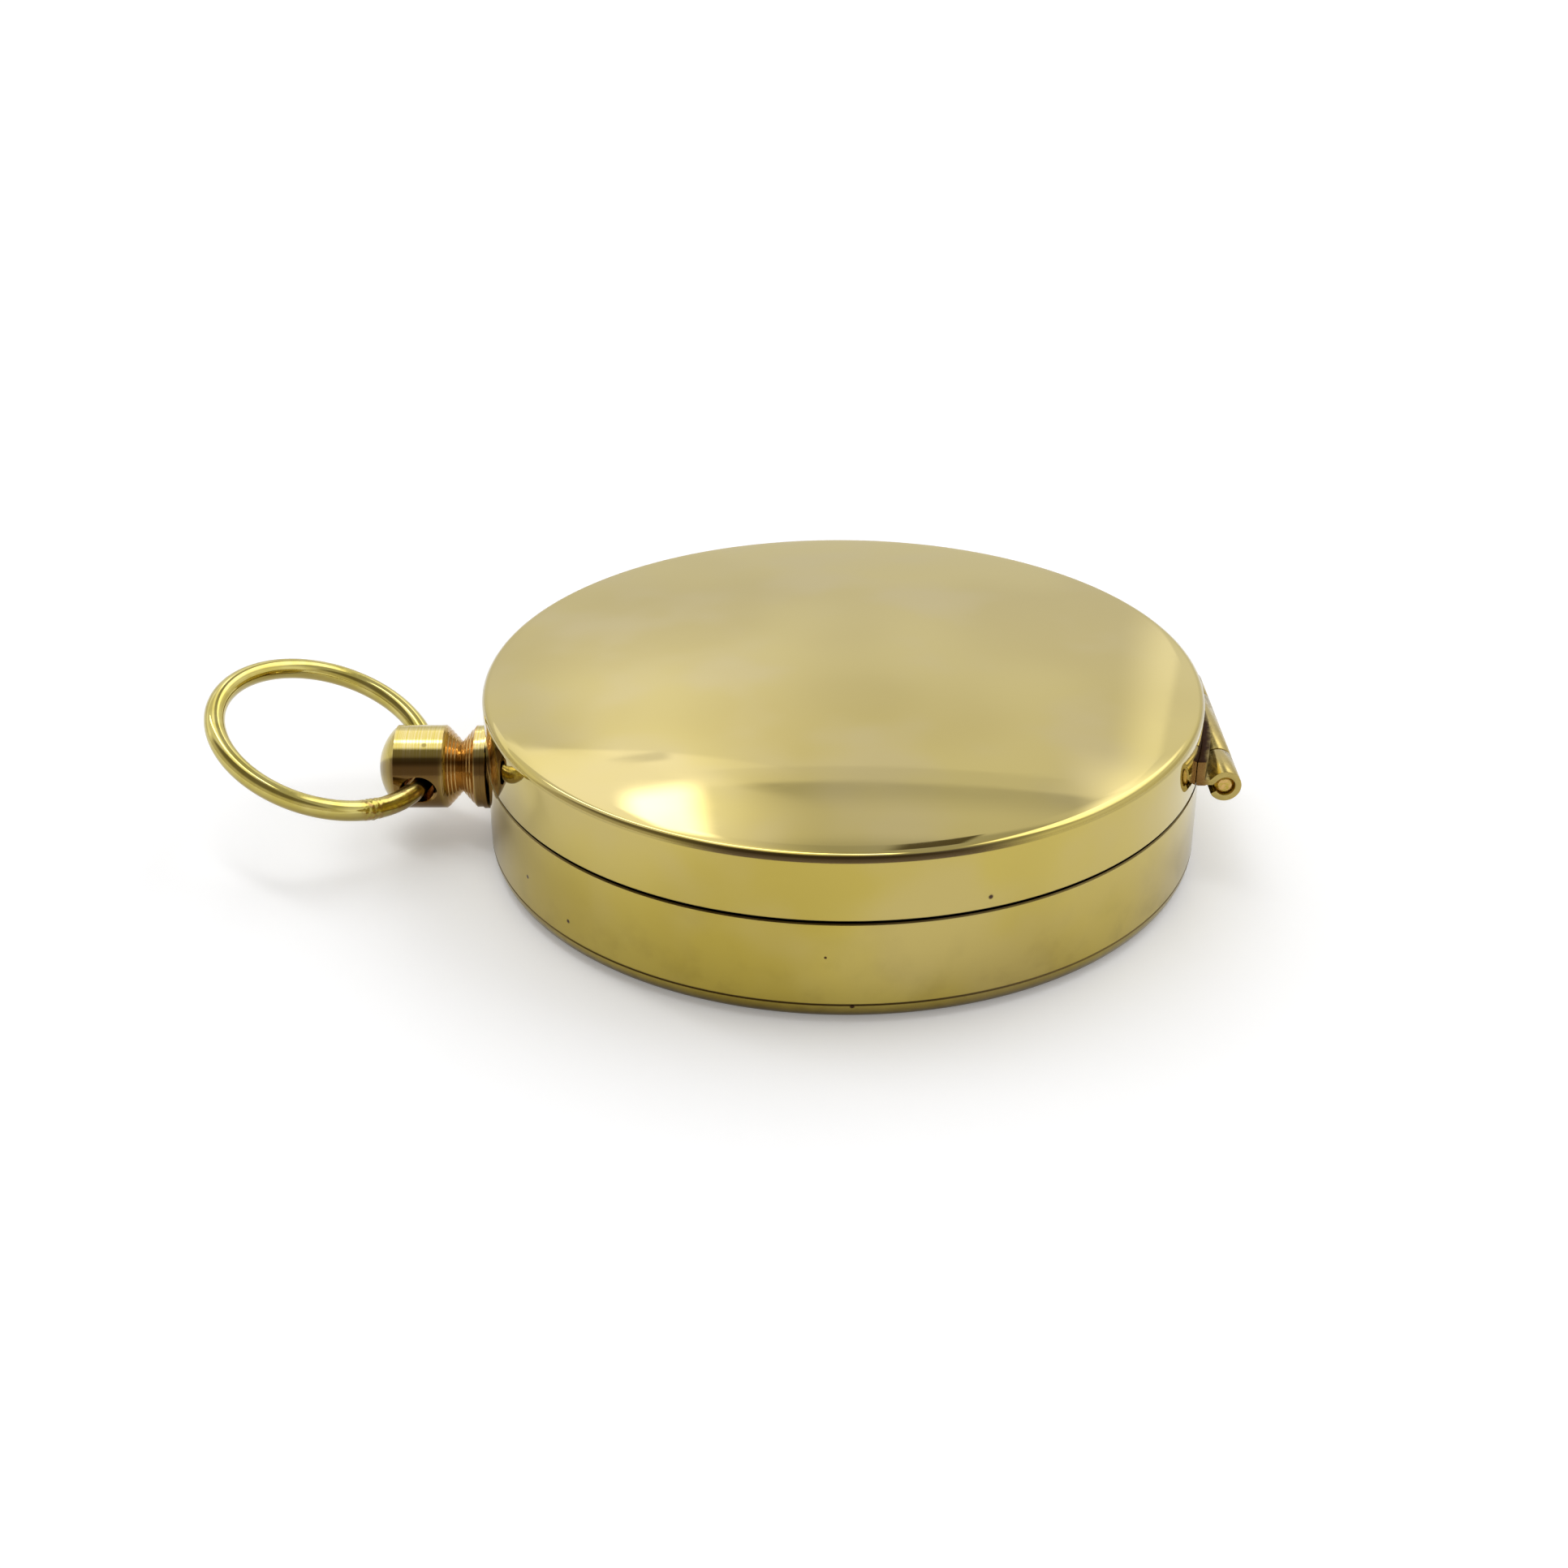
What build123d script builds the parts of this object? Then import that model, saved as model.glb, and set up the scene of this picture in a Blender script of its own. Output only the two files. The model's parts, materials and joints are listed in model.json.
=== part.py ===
"""Pocket compass in a round hinged brass case, millimetres, +Z up.

The origin is the middle of the flat underside. The stem and its ring point to -X, the lid's
hinge is at +X with its axis along Y, and the lid is closed. The needle points to the stem.
"""

import os
from math import cos, radians, sin, sqrt, tan

from build123d import *

os.makedirs("parts", exist_ok=True)

# Case, outside
case_radius = 25.0
base_height = 7.22
seam_gap = 0.16
lid_height = 4.62
dome_rise = 1.3
rim_round = 0.6
edge_round = 1.2
seam_break = 0.08
joint_break = 0.06

# Case, walls
plate_edge = 1.3
spigot_height = 0.5
band_wall = 1.2
lid_wall = 1.1
lid_thickness = 0.9
lid_inner_round = 0.5
sleeve_wall = 1.0
sleeve_rise = 1.9
sleeve_lead = 0.3

# Fits
press_gap = 0.01
running_gap = 0.04
seat_gap = 0.02
loose_gap = 0.1

# Dial, glass and what clamps them
dial_plate_thickness = 0.5
card_thickness = 0.2
spacer_height = 3.3
spacer_foot = 1.8
spacer_head = 1.0
glass_thickness = 1.1
glass_edge = 0.1
spring_wire = 1.0
groove_depth = 0.25
spring_split = 4.0

# Pivot
stud_flange_radius = 2.2
stud_flange_height = 0.6
stud_shank_radius = 1.0
stud_sink = 1.1
pin_radius = 0.4
pin_sink = 1.6
pin_tip_radius = 0.03
pin_half_angle = 15.0
pivot_rise = 2.1

# Needle
needle_tip_gap = 3.2
blade_half_width = 2.2
blade_hub_radius = 2.6
blade_thickness = 0.3
blade_drop = 0.15
cap_flange_radius = 1.9
cap_flange_height = 0.3
cap_neck_radius = 1.3
cap_peen = 0.15
cap_crown_radius = 1.2
cap_crown_height = 0.6
cap_crown_round = 0.3
jewel_radius = 0.8
jewel_height = 0.6
jewel_cup_radius = 0.45
jewel_cup_depth = 0.3
weight_offset = 8.0
weight_length = 1.2
weight_wall = 0.25

# Stem, set below the base's upper edge, lengths are outwards from the case wall
stem_drop = 2.3
shank_radius = 1.5
shank_end_gap = 0.1
collar_gap = 0.05
collar_radius = 3.02
collar_step = 0.38
front_collar_radius = 2.92
front_collar_end = 0.9
neck_distance = 1.95
neck_radius = 1.78
head_start = 3.05
head_radius = 2.95
head_end = 6.5
head_dome = 1.35

# Bow ring
ring_radius = 7.6
ring_wire = 1.45
ring_tilt = 21.0
hole_distance = 4.82
hole_turn = 9.2
hole_break = 0.12

# Hinge
barrel_radius = 1.1
barrel_sink = 0.35
recess_gap = 0.12
hinge_sheet = 0.4
hinge_half_length = 7.9
middle_half_length = 4.4
knuckle_gap = 0.15
leaf_thickness = 0.55
leaf_height = 1.85
leaf_clearance = 0.1
curl_start = 135.0
curl_end = 210.0
pin_recess = 0.15
pin_chamfer = 0.2

# Heights that follow from the stack
stem_height = base_height - stem_drop
seam = base_height + seam_gap / 2
lid_bottom = base_height + seam_gap
lid_rim = lid_bottom + lid_height
lid_top = lid_rim + dome_rise
floor = plate_edge + spigot_height
card_bottom = floor + dial_plate_thickness
card_top = card_bottom + card_thickness
glass_bottom = card_top + spacer_height
glass_top = glass_bottom + glass_thickness
sleeve_top = seam + sleeve_rise
pivot_tip = card_top + pivot_rise
blade_top = pivot_tip - blade_drop
blade_bottom = blade_top - blade_thickness

# Radii that follow from the walls
band_inner = case_radius - band_wall
sleeve_outer = band_inner - press_gap
sleeve_inner = sleeve_outer - sleeve_wall
inner_fit = sleeve_inner - loose_gap
lid_inner = case_radius - lid_wall
spacer_inner = inner_fit - spacer_foot
needle_radius = spacer_inner - needle_tip_gap
dome_radius = (case_radius**2 + dome_rise**2) / (2 * dome_rise)

# Stem hole: its axis is turned about the stem, and the ring's bend has to pass through it
hole_axis = Vector(0, cos(radians(hole_turn)), sin(radians(hole_turn)))
hole_centre = Vector(-case_radius - hole_distance, 0, stem_height)
mouth_cosine = sqrt(1 - (head_radius / ring_radius) ** 2)
ring_sag = ring_radius * (1 - mouth_cosine)
ring_offset = (ring_sag + ring_wire / 2 / mouth_cosine - ring_wire / 2) / 2
hole_radius = ring_wire / 2 + ring_offset + running_gap

# Hinge axis, outside the case wall at the height of the seam, with its barrel sunk into the wall
hinge_x = case_radius + barrel_radius - barrel_sink
bore_radius = barrel_radius - hinge_sheet
pin_fit = bore_radius - running_gap
leaf_lip = seam_gap / 2 + seat_gap
leaf_foot = leaf_lip + hinge_sheet
outer_start = middle_half_length + knuckle_gap
wall_fit = case_radius + seat_gap
hinge_line = Plane((hinge_x, 0, seam), x_dir=(1, 0, 0), z_dir=(0, -1, 0))
barrel_recess = hinge_line * Cylinder(barrel_radius + recess_gap, 2 * (hinge_half_length + recess_gap))


def dome_height(radius):
    """Height of the lid's domed outside at a radius."""
    return lid_top - dome_radius + sqrt(dome_radius**2 - radius**2)


def turned(*points):
    """A closed outline of straight lines in the XZ plane, ready to turn about Z."""
    with BuildSketch(Plane.XZ) as outline:
        with BuildLine():
            Polyline(*points, close=True)
        make_face()
    return outline.sketch


# Bottom plate: a disc with a rounded lower edge and a spigot that locates the band
with BuildPart() as base_plate:
    Cylinder(case_radius, plate_edge, align=(Align.CENTER, Align.CENTER, Align.MIN))
    fillet(base_plate.edges().sort_by(Axis.Z)[0], edge_round)
    chamfer(base_plate.edges().sort_by(Axis.Z)[-1], joint_break)
    with BuildSketch(Plane.XY.offset(plate_edge)):
        Circle(band_inner - press_gap)
    extrude(amount=spigot_height)
    with BuildSketch(Plane.XY.offset(floor)):
        Circle(stud_shank_radius + press_gap)
    extrude(amount=-stud_sink, mode=Mode.SUBTRACT)

# Side wall of the base, with the hole for the stem's shank and a recess for the hinge
with BuildPart() as base_band:
    with BuildSketch(Plane.XY.offset(plate_edge)):
        Circle(case_radius)
        Circle(band_inner, mode=Mode.SUBTRACT)
    extrude(amount=base_height - plate_edge)
    upper_edges = base_band.edges().group_by(Axis.Z)[-1]
    chamfer(upper_edges.sort_by(SortBy.RADIUS)[-1], seam_break)
    lower_edges = base_band.edges().group_by(Axis.Z)[0]
    chamfer(lower_edges.sort_by(SortBy.RADIUS)[-1], joint_break)
    with BuildSketch(Plane((-case_radius, 0, stem_height), z_dir=(1, 0, 0))):
        Circle(shank_radius + press_gap)
    extrude(amount=2 * band_wall, both=True, mode=Mode.SUBTRACT)
    add(barrel_recess, mode=Mode.SUBTRACT)

# Sleeve: stands on the spigot, holds the glass, and its top guides the lid
with BuildPart() as bezel_sleeve:
    revolve(
        turned(
            (sleeve_inner, floor),
            (sleeve_outer, floor),
            (sleeve_outer, sleeve_top - sleeve_lead),
            (sleeve_outer - sleeve_lead, sleeve_top),
            (sleeve_inner, sleeve_top),
            (sleeve_inner, glass_top + spring_wire),
            (sleeve_inner + groove_depth, glass_top + spring_wire),
            (sleeve_inner + groove_depth, glass_top),
            (sleeve_inner, glass_top),
        ),
        axis=Axis.Z,
    )
    with BuildSketch(Plane((-sleeve_outer, 0, stem_height), z_dir=(1, 0, 0))):
        Circle(shank_radius + press_gap)
    extrude(amount=2 * sleeve_wall, both=True, mode=Mode.SUBTRACT)

# Dial carrier and the paper card on it
with BuildPart() as dial_plate:
    with BuildSketch(Plane.XY.offset(floor)):
        Circle(inner_fit)
        Circle(stud_shank_radius + press_gap, mode=Mode.SUBTRACT)
    extrude(amount=dial_plate_thickness)

with BuildPart() as dial_card:
    with BuildSketch(Plane.XY.offset(card_bottom)):
        Circle(inner_fit)
        Circle(stud_shank_radius + press_gap, mode=Mode.SUBTRACT)
    extrude(amount=card_thickness)

# Spacer: clamps the card's edge, slopes outwards and carries the glass
with BuildPart() as spacer_ring:
    revolve(
        turned(
            (spacer_inner, card_top),
            (inner_fit, card_top),
            (inner_fit, glass_bottom),
            (inner_fit - spacer_head, glass_bottom),
        ),
        axis=Axis.Z,
    )

with BuildPart() as glass:
    with BuildSketch(Plane.XY.offset(glass_bottom)):
        Circle(inner_fit)
    extrude(amount=glass_thickness)
    chamfer(glass.edges().filter_by(GeomType.CIRCLE), glass_edge)

# Split wire ring, sprung into the sleeve's groove above the glass
spring_radius = sleeve_inner + groove_depth - spring_wire / 2 - press_gap
with BuildPart() as spring_ring:
    with BuildSketch(Plane.XZ):
        with Locations((spring_radius, glass_top + spring_wire / 2)):
            Circle(spring_wire / 2)
    revolve(axis=Axis.Z, revolution_arc=360 - spring_split)

# Pivot: a flanged stud through the dial into the bottom plate, and a pointed pin in it
stud_bottom = floor - stud_sink
stud_top = card_top + stud_flange_height
pin_bottom = stud_top - pin_sink
point_length = (pin_radius - pin_tip_radius) / tan(radians(pin_half_angle))
with BuildPart() as pivot_stud:
    revolve(
        turned(
            (0, stud_bottom),
            (stud_shank_radius, stud_bottom),
            (stud_shank_radius, card_top),
            (stud_flange_radius, card_top),
            (stud_flange_radius, stud_top - stud_flange_height / 2),
            (stud_shank_radius, stud_top),
            (pin_radius + press_gap, stud_top),
            (pin_radius + press_gap, pin_bottom),
            (0, pin_bottom),
        ),
        axis=Axis.Z,
    )

with BuildPart() as pivot_pin:
    revolve(
        turned(
            (0, pin_bottom),
            (pin_radius, pin_bottom),
            (pin_radius, pivot_tip - point_length),
            (pin_tip_radius, pivot_tip),
            (0, pivot_tip),
        ),
        axis=Axis.Z,
    )

# Needle: a lozenge with a round hub, its cap, the cup jewel and the balance clip
with BuildPart() as needle:
    with BuildSketch(Plane.XY.offset(blade_bottom)):
        with BuildLine():
            Polyline(
                (-needle_radius, 0),
                (0, blade_half_width),
                (needle_radius, 0),
                (0, -blade_half_width),
                close=True,
            )
        make_face()
        Circle(blade_hub_radius)
        Circle(cap_neck_radius + press_gap, mode=Mode.SUBTRACT)
    extrude(amount=blade_thickness)

cap_bottom = blade_bottom - cap_peen
cap_shoulder = blade_top + cap_flange_height
cap_top = cap_shoulder + cap_crown_height
jewel_apex = pivot_tip + running_gap
jewel_bottom = jewel_apex - jewel_cup_depth
jewel_top = jewel_bottom + jewel_height
with BuildPart() as needle_cap:
    revolve(
        turned(
            (jewel_radius + press_gap, cap_bottom),
            (cap_neck_radius, cap_bottom),
            (cap_neck_radius, blade_top),
            (cap_flange_radius, blade_top),
            (cap_flange_radius, cap_shoulder),
            (cap_crown_radius, cap_shoulder),
            (cap_crown_radius, cap_top),
            (0, cap_top),
            (0, jewel_top),
            (jewel_radius + press_gap, jewel_top),
        ),
        axis=Axis.Z,
    )
    fillet(needle_cap.edges().filter_by(GeomType.CIRCLE).sort_by(Axis.Z)[-1], cap_crown_round)

with BuildPart() as needle_jewel:
    revolve(
        turned(
            (0, jewel_apex),
            (jewel_cup_radius, jewel_bottom),
            (jewel_radius, jewel_bottom),
            (jewel_radius, jewel_top),
            (0, jewel_top),
        ),
        axis=Axis.Z,
    )

weight_slot = blade_half_width * (1 - weight_offset / needle_radius) + seat_gap
slot_half_height = blade_thickness / 2 + seat_gap
with BuildPart() as needle_weight:
    with BuildSketch(Plane((weight_offset, 0, blade_bottom + blade_thickness / 2), z_dir=(1, 0, 0))):
        RectangleRounded(
            2 * (slot_half_height + weight_wall),
            2 * (weight_slot + weight_wall),
            weight_wall,
        )
        Rectangle(2 * slot_half_height, 2 * weight_slot, mode=Mode.SUBTRACT)
    extrude(amount=weight_length)

# Lid: straight wall, low spherical dome, small round at the rim, recess for the hinge
inner_dome_edge = dome_height(lid_inner) - lid_thickness
with BuildPart() as lid:
    with BuildSketch(Plane.XZ) as lid_outline:
        with BuildLine():
            Line((0, lid_top - lid_thickness), (0, lid_top))
            ThreePointArc(
                (0, lid_top),
                (case_radius / 2, dome_height(case_radius / 2)),
                (case_radius, lid_rim),
            )
            Polyline(
                (case_radius, lid_rim),
                (case_radius, lid_bottom),
                (lid_inner, lid_bottom),
                (lid_inner, inner_dome_edge),
            )
            ThreePointArc(
                (lid_inner, inner_dome_edge),
                (lid_inner / 2, dome_height(lid_inner / 2) - lid_thickness),
                (0, lid_top - lid_thickness),
            )
        make_face()
        fillet(lid_outline.vertices().group_by(Axis.X)[1].sort_by(Axis.Y)[-1], lid_inner_round)
        fillet(lid_outline.vertices().group_by(Axis.X)[-1].sort_by(Axis.Y)[-1], rim_round)
        chamfer(lid_outline.vertices().group_by(Axis.X)[-1].sort_by(Axis.Y)[0], seam_break)
    revolve(axis=Axis.Z)
    add(barrel_recess, mode=Mode.SUBTRACT)

# Stem: turned about X, drilled across for the ring, its shank in the band and the sleeve
wall_x = -case_radius
shank_x = -sleeve_inner - shank_end_gap
dome_bulge = head_radius * sqrt(0.5)
dome_sphere = (head_radius**2 + head_dome**2) / (2 * head_dome)
dome_middle = head_dome - dome_sphere + sqrt(dome_sphere**2 - dome_bulge**2)
with BuildPart() as stem:
    with BuildSketch(Plane.XZ):
        with BuildLine():
            Polyline(
                (wall_x - head_end - head_dome, stem_height),
                (shank_x, stem_height),
                (shank_x, stem_height + shank_radius),
                (wall_x - collar_gap, stem_height + shank_radius),
                (wall_x - collar_gap, stem_height + collar_radius),
                (wall_x - collar_gap - collar_step, stem_height + collar_radius),
                (wall_x - collar_gap - collar_step, stem_height + front_collar_radius),
                (wall_x - front_collar_end, stem_height + front_collar_radius),
                (wall_x - neck_distance, stem_height + neck_radius),
                (wall_x - head_start, stem_height + head_radius),
                (wall_x - head_end, stem_height + head_radius),
            )
            ThreePointArc(
                (wall_x - head_end, stem_height + head_radius),
                (wall_x - head_end - dome_middle, stem_height + dome_bulge),
                (wall_x - head_end - head_dome, stem_height),
            )
        make_face()
    revolve(axis=Axis((0, 0, stem_height), (1, 0, 0)))
    with BuildSketch(Plane(hole_centre, z_dir=hole_axis)):
        Circle(hole_radius)
    extrude(amount=2 * head_radius, both=True, mode=Mode.SUBTRACT)
    chamfer(stem.edges().filter_by(GeomType.BSPLINE), hole_break)

# Bow ring: round wire through the cross hole, tilted up from level
ring_reach = Vector(-1, 0, 0).rotate(Axis((0, 0, 0), hole_axis), ring_tilt)
ring_centre = hole_centre + ring_reach * (ring_radius - ring_offset)
with BuildPart(Plane(ring_centre, x_dir=ring_reach, z_dir=ring_reach.cross(hole_axis))) as bow_ring:
    Torus(ring_radius, ring_wire / 2)


def roll_section(bore, side, place):
    """Section of sheet that is rolled round the pin and left open towards the wall.

    The section stands across the pin at a place along Y, and its origin is the pin's axis.
    side is 1 for the lid, above the seam, and -1 for the base, below it.
    """
    past_barrel = 2 * barrel_radius
    mouth = [(0, 0)]
    for angle in (curl_start, (curl_start + curl_end) / 2, curl_end):
        mouth.append((past_barrel * cos(radians(angle)), side * past_barrel * sin(radians(angle))))
    with BuildSketch(hinge_line.offset(-place)) as section:
        Circle(barrel_radius)
        Polygon(*mouth, align=None, mode=Mode.SUBTRACT)
        Circle(bore, mode=Mode.SUBTRACT)
    return section.sketch


def tab_section(bore, place):
    """Section of the sheet from inside the lid's wall, above the seam, to the start of its roll."""
    start = radians(curl_start)
    slope = tan(start - radians(90))
    outer_x = barrel_radius * cos(start)
    outer_z = barrel_radius * sin(start)
    inner_x = bore * cos(start)
    inner_z = bore * sin(start)
    inside_wall = -case_radius / 2
    with BuildSketch(hinge_line.offset(-place)) as section:
        Polygon(
            (inner_x, inner_z),
            (outer_x, outer_z),
            (outer_x - (outer_z - leaf_foot) / slope, leaf_foot),
            (inside_wall, leaf_foot),
            (inside_wall, leaf_lip),
            (inner_x - (inner_z - leaf_lip) / slope, leaf_lip),
            align=None,
        )
    return section.sketch


def leaf_section(half_length, height):
    """Plan of a sheet that hugs the case wall beside the hinge, at a height."""
    with BuildSketch(Plane.XY.offset(height)) as section:
        Circle(wall_fit + leaf_thickness)
        Circle(wall_fit, mode=Mode.SUBTRACT)
        with Locations((hinge_x, 0)):
            Rectangle(case_radius, 2 * half_length, mode=Mode.INTERSECT)
    return section.sketch


# Hinge leaf on the lid: two rolled outer knuckles, notched over the middle one
lid_bore = pin_fit + press_gap
lid_pin_hole = hinge_line * Cylinder(lid_bore, 2 * hinge_half_length)
outer_knuckles = ((-hinge_half_length, -outer_start), (outer_start, hinge_half_length))
with BuildPart() as lid_hinge_leaf:
    for low, high in outer_knuckles:
        extrude(tab_section(lid_bore, high), amount=high - low)
    Cylinder(wall_fit, lid_top, align=(Align.CENTER, Align.CENTER, Align.MIN), mode=Mode.SUBTRACT)
    for low, high in outer_knuckles:
        extrude(roll_section(lid_bore, 1, high), amount=high - low)
    extrude(leaf_section(hinge_half_length, seam + leaf_lip), amount=leaf_height - leaf_lip)
    with BuildSketch(Plane.XY.offset(seam)):
        with Locations((hinge_x, 0)):
            Rectangle(4 * barrel_radius, 2 * outer_start)
    extrude(amount=barrel_radius + leaf_clearance, mode=Mode.SUBTRACT)
    add(lid_pin_hole, mode=Mode.SUBTRACT)

# Hinge leaf on the base: one rolled middle knuckle on a leaf of the same width
base_leaf_bottom = seam - leaf_height
base_pin_hole = hinge_line * Cylinder(bore_radius, 2 * hinge_half_length)
with BuildPart() as base_hinge_leaf:
    extrude(leaf_section(middle_half_length, base_leaf_bottom), amount=leaf_height - leaf_foot)
    extrude(roll_section(bore_radius, -1, middle_half_length), amount=2 * middle_half_length)
    add(base_pin_hole, mode=Mode.SUBTRACT)

# Hinge pin, tight in the lid's knuckles and running in the base's
with BuildPart() as hinge_pin:
    with BuildSketch(hinge_line):
        Circle(pin_fit)
    extrude(amount=hinge_half_length - pin_recess, both=True)
    chamfer(hinge_pin.edges().filter_by(GeomType.CIRCLE), pin_chamfer)

pieces = {
    "base_plate": base_plate,
    "base_band": base_band,
    "bezel_sleeve": bezel_sleeve,
    "dial_plate": dial_plate,
    "dial_card": dial_card,
    "spacer_ring": spacer_ring,
    "glass": glass,
    "spring_ring": spring_ring,
    "pivot_stud": pivot_stud,
    "pivot_pin": pivot_pin,
    "needle": needle,
    "needle_cap": needle_cap,
    "needle_jewel": needle_jewel,
    "needle_weight": needle_weight,
    "lid": lid,
    "lid_hinge_leaf": lid_hinge_leaf,
    "base_hinge_leaf": base_hinge_leaf,
    "hinge_pin": hinge_pin,
    "stem": stem,
    "bow_ring": bow_ring,
}
for name, piece in pieces.items():
    piece.part.label = name
    export_step(piece.part, f"parts/{name}.step")
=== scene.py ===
"""Looks of the pocket compass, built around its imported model. Metres, +Z up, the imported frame.

The stem and ring are at -X, the lid's hinge at +X. The camera stands in front, at -Y.
"""

import json
from math import asin, atan2, cos, degrees, pi, radians, sin, sqrt

import bmesh
import bpy
from mathutils import Matrix, Vector


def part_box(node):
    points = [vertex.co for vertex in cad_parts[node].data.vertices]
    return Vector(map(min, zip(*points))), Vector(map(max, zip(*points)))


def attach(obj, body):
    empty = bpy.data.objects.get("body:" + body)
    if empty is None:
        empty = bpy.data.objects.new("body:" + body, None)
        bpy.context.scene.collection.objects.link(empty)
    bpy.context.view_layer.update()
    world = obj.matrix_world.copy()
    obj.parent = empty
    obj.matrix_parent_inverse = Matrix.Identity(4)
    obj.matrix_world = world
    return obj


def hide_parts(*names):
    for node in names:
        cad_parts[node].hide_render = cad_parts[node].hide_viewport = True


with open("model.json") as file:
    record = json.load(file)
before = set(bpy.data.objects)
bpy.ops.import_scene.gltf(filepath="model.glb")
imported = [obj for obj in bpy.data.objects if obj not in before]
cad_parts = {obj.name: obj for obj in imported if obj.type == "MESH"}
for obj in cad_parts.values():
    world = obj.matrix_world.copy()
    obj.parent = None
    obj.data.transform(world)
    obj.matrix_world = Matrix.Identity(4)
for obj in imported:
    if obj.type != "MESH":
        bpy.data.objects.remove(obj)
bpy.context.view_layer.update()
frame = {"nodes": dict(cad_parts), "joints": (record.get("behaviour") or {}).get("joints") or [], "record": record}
nodes = frame["nodes"]
scene = bpy.context.scene
mm = 0.001

# Sizes of the turned case, the same as the solids'
case_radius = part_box("lid")[1].x
lid_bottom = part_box("lid")[0].z
lid_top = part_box("lid")[1].z
dome_rise = 1.3 * mm
dome_radius = (case_radius**2 + dome_rise**2) / (2 * dome_rise)
rim_round = 0.6 * mm
rim_radius = case_radius - rim_round
rim_height = lid_top - dome_radius + sqrt((dome_radius - rim_round) ** 2 - rim_radius**2)
seam_break = 0.08 * mm
lid_wall = 1.1 * mm
lid_thickness = 0.9 * mm
lid_inner_round = 0.5 * mm
band_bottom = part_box("base_band")[0].z
band_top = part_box("base_band")[1].z
band_wall = 1.2 * mm
edge_round = 1.2 * mm
plate_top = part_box("base_plate")[1].z
joint_break = 0.06 * mm
press_gap = 0.01 * mm

# Dark specks seen in the photo: turn from the front in degrees, height and radius
lid_specks = ((19.96, 8.23 * mm, 0.22 * mm),)
band_specks = (
    (-3.69, 4.79 * mm, 0.13 * mm),
    (-57.6, 3.75 * mm, 0.2 * mm),
    (-46.6, 2.64 * mm, 0.2 * mm),
)
plate_specks = ((0.16, 1.22 * mm, 0.25 * mm),)

# Dark polish left at the joints: how far up and down it reaches, and how far in from the wall
grime_reach = (0.04 * mm, 0.14 * mm)
grime_inset = (0.2 * mm, 0.08 * mm)
grime_depth = 0.85

# Stem and ring, the same as the solids'
stem_height = (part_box("stem")[0].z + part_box("stem")[1].z) / 2
stem_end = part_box("stem")[0].x
shank_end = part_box("stem")[1].x
shank_radius = 1.5 * mm
collar_gap = 0.05 * mm
collar_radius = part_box("stem")[1].z - stem_height
collar_step = 0.38 * mm
front_collar_radius = 2.92 * mm
front_collar_end = 0.9 * mm
neck_distance = 1.95 * mm
neck_radius = 1.78 * mm
head_start = 3.05 * mm
head_radius = 2.95 * mm
head_dome = 1.35 * mm
hole_radius = 1.094 * mm
hole_flare = 0.12 * mm
ring_radius = 7.6 * mm
ring_wire = 1.45 * mm

# Where the stem's finish changes: stretches along it, the hole's wall, and a speck's place and radius
dome_ends = (stem_end + 0.9 * mm, stem_end + 1.5 * mm)
neck_begins = (stem_end + 4.4 * mm, stem_end + 5.2 * mm)
neck_ends = (stem_end + 6.9 * mm, stem_end + 7.1 * mm)
bore_edge = (hole_radius + 0.01 * mm, hole_radius + 0.05 * mm)
stem_speck = (Vector((-29.35 * mm, -1.55 * mm, stem_height + 2.5 * mm)), 0.24 * mm)

# Hinge and ring places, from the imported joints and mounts
joints = {joint["name"]: joint for joint in frame["joints"]}
mounts = {mount["name"]: mount for mount in frame["record"]["mounts"]}
hinge_axis = Vector(joints["lid_hinge"]["pos_m"])
barrel_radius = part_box("lid_hinge_leaf")[1].x - hinge_axis.x
recess_gap = 0.12 * mm
leaf_break = 0.05 * mm
pin_break = 0.04 * mm
hole_centre = Vector(joints["ring_swing"]["pos_m"])
hole_axis = Vector(joints["ring_swing"]["axis"])
ring_centre = Vector(mounts["ring_loop"]["pos_m"])

# Brass tones, linear
brass_light = (0.58, 0.46, 0.105, 1)
brass_deep = (0.50, 0.385, 0.065, 1)
brass_rose = (0.555, 0.445, 0.18, 1)
brass_pale = (0.64, 0.53, 0.24, 1)
bronze = (0.36, 0.20, 0.06, 1)
# Dark brown for real specks, joints and stains, and also for painted shade and painted dark reflections.
tarnish_and_shade = (0.055, 0.024, 0.008, 1)
copper = (0.66, 0.42, 0.15, 1)
# Painted shade for the stem's lower side.
shade_umber = (0.20, 0.11, 0.03, 1)
# Soot and painted shade on the hinge near the case wall.
soot_shade_brown = (0.040, 0.015, 0.006, 1)
wire_deep = (0.53, 0.43, 0.08, 1)
wire_light = (0.62, 0.52, 0.15, 1)
# Painted shade for the ring's underside.
wire_shade = (0.34, 0.26, 0.06, 1)
sheet_deep = (0.40, 0.31, 0.09, 1)
sheet_light = (0.52, 0.40, 0.13, 1)
satin_light = (0.60, 0.475, 0.14, 1)

# Tones of paper, ink, steel, lacquer, stone and glass, linear
paper_cream = (0.92, 0.87, 0.73, 1)
paper_edge = (0.87, 0.79, 0.60, 1)
paper_fibre = (0.76, 0.67, 0.50, 1)
foxing_brown = (0.42, 0.25, 0.10, 1)
black_ink = (0.012, 0.012, 0.014, 1)
red_ink = (0.36, 0.03, 0.02, 1)
blade_deep = (0.42, 0.44, 0.47, 1)
blade_light = (0.60, 0.62, 0.64, 1)
lacquer_deep = (0.42, 0.015, 0.012, 1)
lacquer_light = (0.55, 0.03, 0.02, 1)
pivot_deep = (0.45, 0.46, 0.48, 1)
pivot_light = (0.62, 0.63, 0.65, 1)
ruby_deep = (0.45, 0.02, 0.05, 1)
ruby_light = (0.6, 0.06, 0.1, 1)
glass_tint = (0.97, 0.985, 0.975, 1)

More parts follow.
